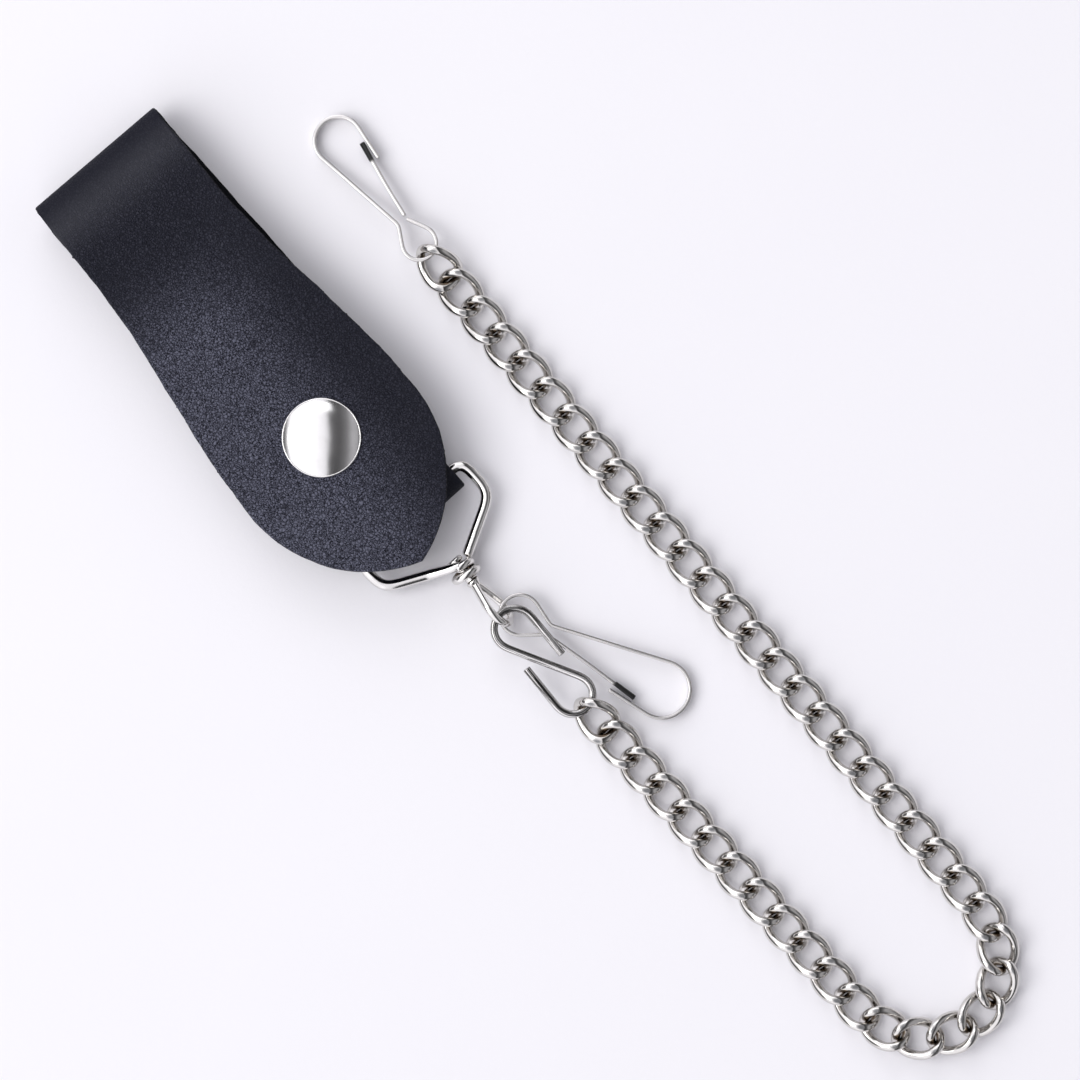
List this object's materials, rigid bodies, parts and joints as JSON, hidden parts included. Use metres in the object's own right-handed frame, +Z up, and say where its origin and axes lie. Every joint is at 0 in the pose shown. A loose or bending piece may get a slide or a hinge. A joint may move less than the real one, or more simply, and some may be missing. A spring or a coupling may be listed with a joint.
{
  "type": "trouser chain",
  "caption": "Metal trouser or wallet chain of twisted curb links, with a snap-shut black leather belt loop and ring at one end and a spring clip at each end.",
  "frame": {"origin": "centre of the whole object's footprint, on the table under it", "axes": "+X from the fold of the leather belt loop towards its pointed flap and the turn of the chain; +Y from the belt loop towards the chain's return run; +Z up from the table"},
  "size_m": [0.2389, 0.0649, 0.0135],
  "materials": {
    "leather": "fine-grained black leather, semi-matte, with a raw cut edge",
    "leather_back": "the same leather, back leaf and turned tab",
    "snap": "bright nickel plate, smooth dome",
    "spring": "drawn spring wire",
    "ring": "nickel-plated cast metal, bright with fine wear",
    "swivel": "nickel-plated wire, bright",
    "hook": "drawn wire with lengthwise streaks",
    "clip": "flat spring strip, satin faces",
    "link": "nickel-plated twisted curb link, bright with dark recesses"
  },
  "bodies": {
    "strap": {"strap_back": "leather_back", "snap_stud": "snap", "snap_rivet": "snap"},
    "flap": {"strap_flap": "leather", "snap_cap": "snap", "snap_socket": "snap", "snap_spring": "spring"},
    "ring": {"ring": "ring"},
    "swivel": {"swivel": "swivel"},
    "s_hook": {"s_hook": "hook"},
    "clip_a": {"clip_a": "clip"},
    "clip_a_gate": {"clip_a_gate": "clip"},
    "link_01": {"link_01": "link"},
    "link_02": {"link_02": "link"},
    "link_03": {"link_03": "link"},
    "link_04": {"link_04": "link"},
    "link_05": {"link_05": "link"},
    "link_06": {"link_06": "link"},
    "link_07": {"link_07": "link"},
    "link_08": {"link_08": "link"},
    "link_09": {"link_09": "link"},
    "link_10": {"link_10": "link"},
    "link_11": {"link_11": "link"},
    "link_12": {"link_12": "link"},
    "link_13": {"link_13": "link"},
    "link_14": {"link_14": "link"},
    "link_15": {"link_15": "link"},
    "link_16": {"link_16": "link"},
    "link_17": {"link_17": "link"},
    "link_18": {"link_18": "link"},
    "link_19": {"link_19": "link"},
    "link_20": {"link_20": "link"},
    "link_21": {"link_21": "link"},
    "link_22": {"link_22": "link"},
    "link_23": {"link_23": "link"},
    "link_24": {"link_24": "link"},
    "link_25": {"link_25": "link"},
    "link_26": {"link_26": "link"},
    "link_27": {"link_27": "link"},
    "link_28": {"link_28": "link"},
    "link_29": {"link_29": "link"},
    "link_30": {"link_30": "link"},
    "link_31": {"link_31": "link"},
    "link_32": {"link_32": "link"},
    "link_33": {"link_33": "link"},
    "link_34": {"link_34": "link"},
    "link_35": {"link_35": "link"},
    "link_36": {"link_36": "link"},
    "link_37": {"link_37": "link"},
    "link_38": {"link_38": "link"},
    "link_39": {"link_39": "link"},
    "link_40": {"link_40": "link"},
    "link_41": {"link_41": "link"},
    "link_42": {"link_42": "link"},
    "link_43": {"link_43": "link"},
    "clip_b": {"clip_b": "clip"},
    "clip_b_gate": {"clip_b_gate": "clip"}
  },
  "joints": [
    {"name": "flap_fold", "type": "hinge", "parent": "strap", "child": "flap", "pos_m": [-0.11061, -0.0125, 0.01115], "axis": [0, -1, 0], "range_deg": [0, 115], "deforming": ["snap_spring"]},
    {"name": "ring_turn", "type": "hinge", "parent": "strap", "child": "ring", "pos_m": [-0.02971, -0.00842, 0.004], "axis": [0.0454, -0.999, 0], "range_deg": [-75, 30]},
    {"name": "swivel_turn", "type": "hinge", "parent": "ring", "child": "swivel", "pos_m": [-0.01442, -0.00772, 0.004], "axis": [0.999, 0.0454, 0], "continuous": true},
    {"name": "clip_a_swing", "type": "hinge", "parent": "swivel", "child": "clip_a", "pos_m": [-0.00044, -0.00709, 0.004], "axis": [0, 0, 1], "range_deg": [-3, 16]},
    {"name": "clip_a_gate_flex", "type": "hinge", "parent": "clip_a", "child": "clip_a_gate", "pos_m": [0.00574, -0.00312, 0.00255], "axis": [0.0441, 0.0187, 0.9989], "range_deg": [0, 16], "stiffness_Nm_per_rad": 0.03},
    {"name": "s_hook_lift", "type": "hinge", "parent": "swivel", "child": "s_hook", "pos_m": [-0.00044, -0.00709, 0.004], "axis": [0.0419, -0.9991, 0], "range_deg": [0, 9]},
    {"name": "link_01_turn", "type": "hinge", "parent": "s_hook", "child": "link_01", "pos_m": [0.02094, -0.00599, 0.0035], "axis": [-0.0523, 0.9986, 0], "range_deg": [-20, 28]},
    {"name": "link_02_turn", "type": "hinge", "parent": "link_01", "child": "link_02", "pos_m": [0.02764, -0.00564, 0.00235], "axis": [0.0523, -0.9986, 0], "range_deg": [-28, 9]},
    {"name": "link_03_turn", "type": "hinge", "parent": "link_02", "child": "link_03", "pos_m": [0.03443, -0.00528, 0.00235], "axis": [-0.0523, 0.9986, 0], "range_deg": [-28, 28]},
    {"name": "link_04_turn", "type": "hinge", "parent": "link_03", "child": "link_04", "pos_m": [0.04122, -0.00493, 0.00235], "axis": [0.0523, -0.9986, 0], "range_deg": [-28, 28]},
    {"name": "link_05_turn", "type": "hinge", "parent": "link_04", "child": "link_05", "pos_m": [0.04801, -0.00457, 0.00235], "axis": [-0.0523, 0.9986, 0], "range_deg": [-28, 28]},
    {"name": "link_06_turn", "type": "hinge", "parent": "link_05", "child": "link_06", "pos_m": [0.0548, -0.00421, 0.00235], "axis": [0.0523, -0.9986, 0], "range_deg": [-28, 28]},
    {"name": "link_07_turn", "type": "hinge", "parent": "link_06", "child": "link_07", "pos_m": [0.06159, -0.00386, 0.00235], "axis": [-0.0523, 0.9986, 0], "range_deg": [-28, 28]},
    {"name": "link_08_turn", "type": "hinge", "parent": "link_07", "child": "link_08", "pos_m": [0.06838, -0.0035, 0.00235], "axis": [0.0523, -0.9986, 0], "range_deg": [-28, 28]},
    {"name": "link_09_turn", "type": "hinge", "parent": "link_08", "child": "link_09", "pos_m": [0.07517, -0.00315, 0.00235], "axis": [-0.0523, 0.9986, 0], "range_deg": [-28, 28]},
    {"name": "link_10_turn", "type": "hinge", "parent": "link_09", "child": "link_10", "pos_m": [0.08196, -0.00279, 0.00235], "axis": [0.0523, -0.9986, 0], "range_deg": [-28, 28]},
    {"name": "link_11_turn", "type": "hinge", "parent": "link_10", "child": "link_11", "pos_m": [0.08875, -0.00244, 0.00235], "axis": [-0.0523, 0.9986, 0], "range_deg": [-28, 28]},
    {"name": "link_12_turn", "type": "hinge", "parent": "link_11", "child": "link_12", "pos_m": [0.09554, -0.00208, 0.00235], "axis": [0.0523, -0.9986, 0], "range_deg": [-28, 28]},
    {"name": "link_13_turn", "type": "hinge", "parent": "link_12", "child": "link_13", "pos_m": [0.10233, -0.00172, 0.00235], "axis": [0, 0, 1], "range_deg": [-47, 3]},
    {"name": "link_14_turn", "type": "hinge", "parent": "link_13", "child": "link_14", "pos_m": [0.10864, 0.00082, 0.00235], "axis": [0, 0, -1], "range_deg": [-3, 52]},
    {"name": "link_15_turn", "type": "hinge", "parent": "link_14", "child": "link_15", "pos_m": [0.11336, 0.00571, 0.00235], "axis": [0, 0, 1], "range_deg": [-54, 3]},
    {"name": "link_16_turn", "type": "hinge", "parent": "link_15", "child": "link_16", "pos_m": [0.11546, 0.01218, 0.00235], "axis": [0, 0, -1], "range_deg": [-3, 55]},
    {"name": "link_17_turn", "type": "hinge", "parent": "link_16", "child": "link_17", "pos_m": [0.1144, 0.0189, 0.00235], "axis": [0, 0, 1], "range_deg": [-55, 3]},
    {"name": "link_18_turn", "type": "hinge", "parent": "link_17", "child": "link_18", "pos_m": [0.1104, 0.0244, 0.00235], "axis": [0, 0, -1], "range_deg": [-3, 54]},
    {"name": "link_19_turn", "type": "hinge", "parent": "link_18", "child": "link_19", "pos_m": [0.1044, 0.02759, 0.00235], "axis": [0, 0, 1], "range_deg": [-50, 3]},
    {"name": "link_20_turn", "type": "hinge", "parent": "link_19", "child": "link_20", "pos_m": [0.09764, 0.0283, 0.00235], "axis": [0, 0, -1], "range_deg": [-3, 35]},
    {"name": "link_21_turn", "type": "hinge", "parent": "link_20", "child": "link_21", "pos_m": [0.09084, 0.02819, 0.00235], "axis": [0.0175, -0.9998, 0], "range_deg": [-28, 28]},
    {"name": "link_22_turn", "type": "hinge", "parent": "link_21", "child": "link_22", "pos_m": [0.08404, 0.02807, 0.00235], "axis": [-0.0175, 0.9998, 0], "range_deg": [-28, 28]},
    {"name": "link_23_turn", "type": "hinge", "parent": "link_22", "child": "link_23", "pos_m": [0.07724, 0.02795, 0.00235], "axis": [0.0175, -0.9998, 0], "range_deg": [-28, 28]},
    {"name": "link_24_turn", "type": "hinge", "parent": "link_23", "child": "link_24", "pos_m": [0.07044, 0.02783, 0.00235], "axis": [-0.0175, 0.9998, 0], "range_deg": [-28, 28]},
    {"name": "link_25_turn", "type": "hinge", "parent": "link_24", "child": "link_25", "pos_m": [0.06364, 0.02771, 0.00235], "axis": [0.0175, -0.9998, 0], "range_deg": [-28, 28]},
    {"name": "link_26_turn", "type": "hinge", "parent": "link_25", "child": "link_26", "pos_m": [0.05684, 0.02759, 0.00235], "axis": [-0.0175, 0.9998, 0], "range_deg": [-28, 28]},
    {"name": "link_27_turn", "type": "hinge", "parent": "link_26", "child": "link_27", "pos_m": [0.05004, 0.02747, 0.00235], "axis": [0.0175, -0.9998, 0], "range_deg": [-28, 28]},
    {"name": "link_28_turn", "type": "hinge", "parent": "link_27", "child": "link_28", "pos_m": [0.04324, 0.02735, 0.00235], "axis": [-0.0175, 0.9998, 0], "range_deg": [-28, 28]},
    {"name": "link_29_turn", "type": "hinge", "parent": "link_28", "child": "link_29", "pos_m": [0.03645, 0.02723, 0.00235], "axis": [0.0175, -0.9998, 0], "range_deg": [-28, 28]},
    {"name": "link_30_turn", "type": "hinge", "parent": "link_29", "child": "link_30", "pos_m": [0.02965, 0.02712, 0.00235], "axis": [-0.0175, 0.9998, 0], "range_deg": [-28, 28]},
    {"name": "link_31_turn", "type": "hinge", "parent": "link_30", "child": "link_31", "pos_m": [0.02285, 0.027, 0.00235], "axis": [0.0175, -0.9998, 0], "range_deg": [-28, 28]},
    {"name": "link_32_turn", "type": "hinge", "parent": "link_31", "child": "link_32", "pos_m": [0.01605, 0.02688, 0.00235], "axis": [-0.0175, 0.9998, 0], "range_deg": [-28, 28]},
    {"name": "link_33_turn", "type": "hinge", "parent": "link_32", "child": "link_33", "pos_m": [0.00925, 0.02676, 0.00235], "axis": [0.0175, -0.9998, 0], "range_deg": [-28, 28]},
    {"name": "link_34_turn", "type": "hinge", "parent": "link_33", "child": "link_34", "pos_m": [0.00245, 0.02664, 0.00235], "axis": [-0.0175, 0.9998, 0], "range_deg": [-28, 28]},
    {"name": "link_35_turn", "type": "hinge", "parent": "link_34", "child": "link_35", "pos_m": [-0.00435, 0.02652, 0.00235], "axis": [0.0175, -0.9998, 0], "range_deg": [-28, 28]},
    {"name": "link_36_turn", "type": "hinge", "parent": "link_35", "child": "link_36", "pos_m": [-0.01115, 0.0264, 0.00235], "axis": [-0.0175, 0.9998, 0], "range_deg": [-28, 28]},
    {"name": "link_37_turn", "type": "hinge", "parent": "link_36", "child": "link_37", "pos_m": [-0.01794, 0.02629, 0.00235], "axis": [0.0175, -0.9998, 0], "range_deg": [-28, 28]},
    {"name": "link_38_turn", "type": "hinge", "parent": "link_37", "child": "link_38", "pos_m": [-0.02474, 0.02617, 0.00235], "axis": [-0.0175, 0.9998, 0], "range_deg": [-28, 28]},
    {"name": "link_39_turn", "type": "hinge", "parent": "link_38", "child": "link_39", "pos_m": [-0.03154, 0.02605, 0.00235], "axis": [0.0175, -0.9998, 0], "range_deg": [-28, 28]},
    {"name": "link_40_turn", "type": "hinge", "parent": "link_39", "child": "link_40", "pos_m": [-0.03834, 0.02593, 0.00235], "axis": [-0.0175, 0.9998, 0], "range_deg": [-28, 28]},
    {"name": "link_41_turn", "type": "hinge", "parent": "link_40", "child": "link_41", "pos_m": [-0.04514, 0.02581, 0.00235], "axis": [0.0175, -0.9998, 0], "range_deg": [-28, 28]},
    {"name": "link_42_turn", "type": "hinge", "parent": "link_41", "child": "link_42", "pos_m": [-0.05194, 0.02569, 0.00235], "axis": [-0.0175, 0.9998, 0], "range_deg": [-28, 28]},
    {"name": "link_43_turn", "type": "hinge", "parent": "link_42", "child": "link_43", "pos_m": [-0.05874, 0.02557, 0.00235], "axis": [0.0175, -0.9998, 0], "range_deg": [-9, 28]},
    {"name": "clip_b_swing", "type": "hinge", "parent": "link_43", "child": "clip_b", "pos_m": [-0.06542, 0.02546, 0.0036], "axis": [-0.0175, 0.9998, 0], "range_deg": [-7, 26]},
    {"name": "clip_b_gate_flex", "type": "hinge", "parent": "clip_b", "child": "clip_b_gate", "pos_m": [-0.07287, 0.02659, 0.00301], "axis": [-0.0776, 0.0014, 0.997], "range_deg": [0, 16], "stiffness_Nm_per_rad": 0.03}
  ]
}
